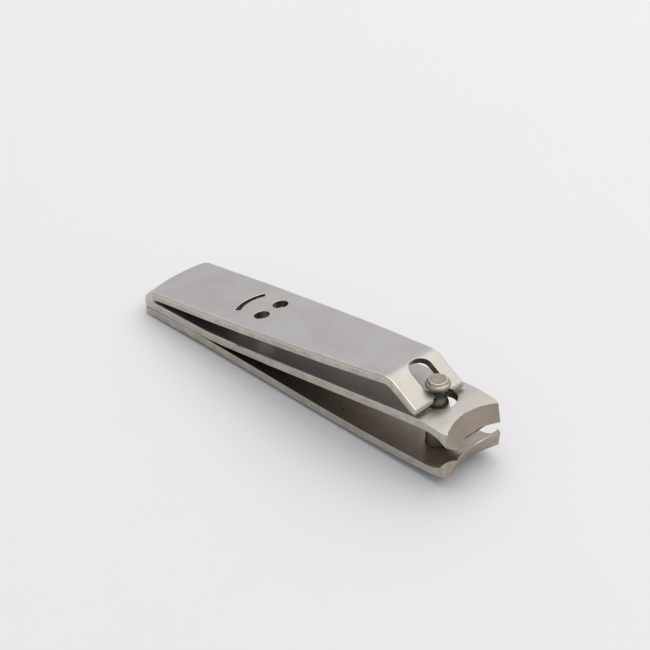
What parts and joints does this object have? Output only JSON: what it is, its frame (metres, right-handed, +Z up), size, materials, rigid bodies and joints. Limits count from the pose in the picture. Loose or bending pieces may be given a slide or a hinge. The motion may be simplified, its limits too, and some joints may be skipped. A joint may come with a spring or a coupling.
{
  "type": "nail clipper",
  "caption": "Lever nail clipper with two sprung blades, a turned pivot pin and a forked folding lever, stored flat.",
  "frame": {"origin": "middle of the outline on the surface that the clipper rests on", "axes": "+X along the clipper towards the cutting edges, +Y across its width, +Z up"},
  "size_m": [0.0826, 0.015, 0.0173],
  "materials": {
    "lower_blade_steel": "tumbled stainless steel with ground edges",
    "upper_blade_steel": "satin stainless steel with a ground bevel",
    "pin_steel": "turned and tumbled steel",
    "lever_steel": "satin stainless steel, brighter on the bent prongs"
  },
  "bodies": {
    "lower_blade": {"lower_blade": "lower_blade_steel"},
    "upper_blade": {"upper_blade": "upper_blade_steel"},
    "pin": {"pivot_pin": "pin_steel"},
    "lever": {"lever": "lever_steel"}
  },
  "joints": [
    {"name": "blade_flex", "type": "hinge", "parent": "lower_blade", "child": "upper_blade", "pos_m": [-0.02715, 0, 0.00246], "axis": [0, 1, 0], "range_deg": [0, 1.7], "stiffness_Nm_per_rad": 12},
    {"name": "pin_swivel", "type": "hinge", "parent": "lower_blade", "child": "pin", "pos_m": [0.03165, 0, 0.0018], "axis": [0, 0, 1], "continuous": true},
    {"name": "lever_tilt", "type": "hinge", "parent": "pin", "child": "lever", "pos_m": [0.03165, 0, 0.0135], "axis": [0, 1, 0], "range_deg": [0, 145]}
  ]
}
